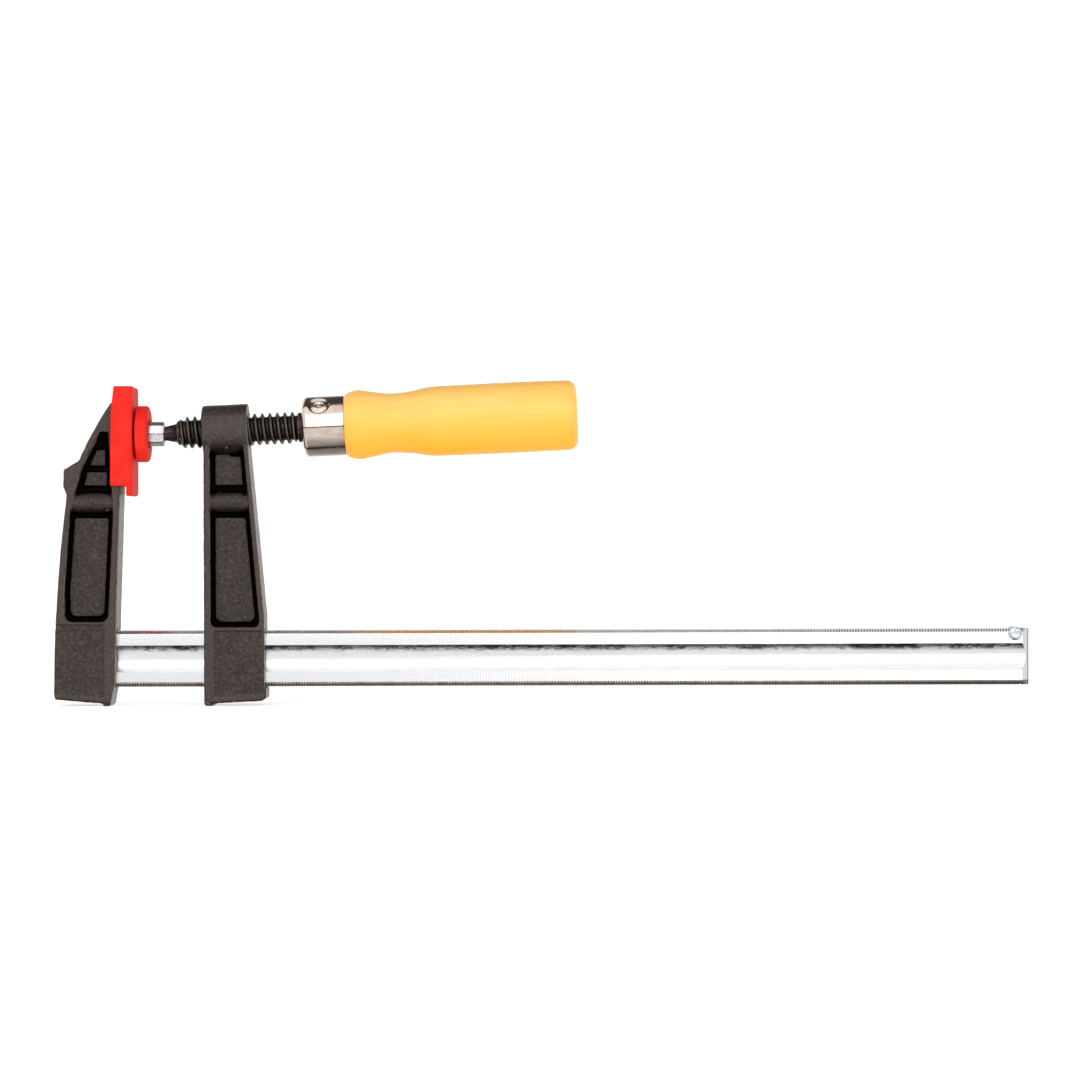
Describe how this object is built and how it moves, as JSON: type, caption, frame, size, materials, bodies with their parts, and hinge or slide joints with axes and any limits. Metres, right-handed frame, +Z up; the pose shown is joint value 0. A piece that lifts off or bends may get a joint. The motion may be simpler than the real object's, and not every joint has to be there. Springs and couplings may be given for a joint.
{
  "type": "f clamp",
  "caption": "Bar clamp with a fixed jaw, a jaw that slides on a grooved bar, and a screw with a turning handle and a tilting pad.",
  "frame": {"origin": "where the screw's axis meets the pressing face of the fixed jaw's cap", "axes": "+X along the bar from the fixed jaw to the free end, +Z up from the bar to the screw, +Y across the jaws"},
  "size_m": [0.3887, 0.0282, 0.1296],
  "materials": {
    "galvanised_bar": "bright zinc plate, drawn and slightly streaked",
    "bright_steel": "bright steel",
    "black_casting": "black-brown satin paint over rough casting",
    "red_plastic": "soft moulded plastic",
    "black_steel": "black oxide, oiled",
    "nickel_plate": "bright nickel plate",
    "lacquered_wood": "golden-yellow satin lacquer",
    "zinc_plate": "bright zinc plate, crimped"
  },
  "bodies": {
    "frame": {"bar": "galvanised_bar", "stop_pin": "bright_steel", "fixed_jaw": "black_casting", "fixed_jaw_cap": "red_plastic"},
    "slider": {"sliding_jaw": "black_casting"},
    "screw_carrier": {"spindle_ball": "black_steel"},
    "screw": {"spindle": "black_steel", "ferrule": "nickel_plate", "ferrule_pin": "bright_steel", "handle": "lacquered_wood"},
    "pad": {"swivel_pad": "zinc_plate", "pad_cap": "red_plastic"}
  },
  "joints": [
    {"name": "jaw_slide", "type": "slide", "parent": "frame", "child": "slider", "axis": [1, 0, 0], "range_m": [0, 0.2959]},
    {"name": "screw_feed", "type": "slide", "parent": "slider", "child": "screw_carrier", "axis": [0.999, 0, 0.0436], "range_m": [0, 0.0144]},
    {"name": "handle_turn", "type": "hinge", "parent": "screw_carrier", "child": "screw", "pos_m": [0, 0, 0], "axis": [0.999, 0, 0.0436], "range_deg": [0, 1728]},
    {"name": "pad_tilt", "type": "hinge", "parent": "screw_carrier", "child": "pad", "pos_m": [0.00839, 0, 0.00037], "axis": [0, 1, 0], "range_deg": [-3.5, 3.5]}
  ],
  "couplings": [
    {"joint": "handle_turn", "follows": "screw_feed", "rad_per_m": 2094.4}
  ]
}
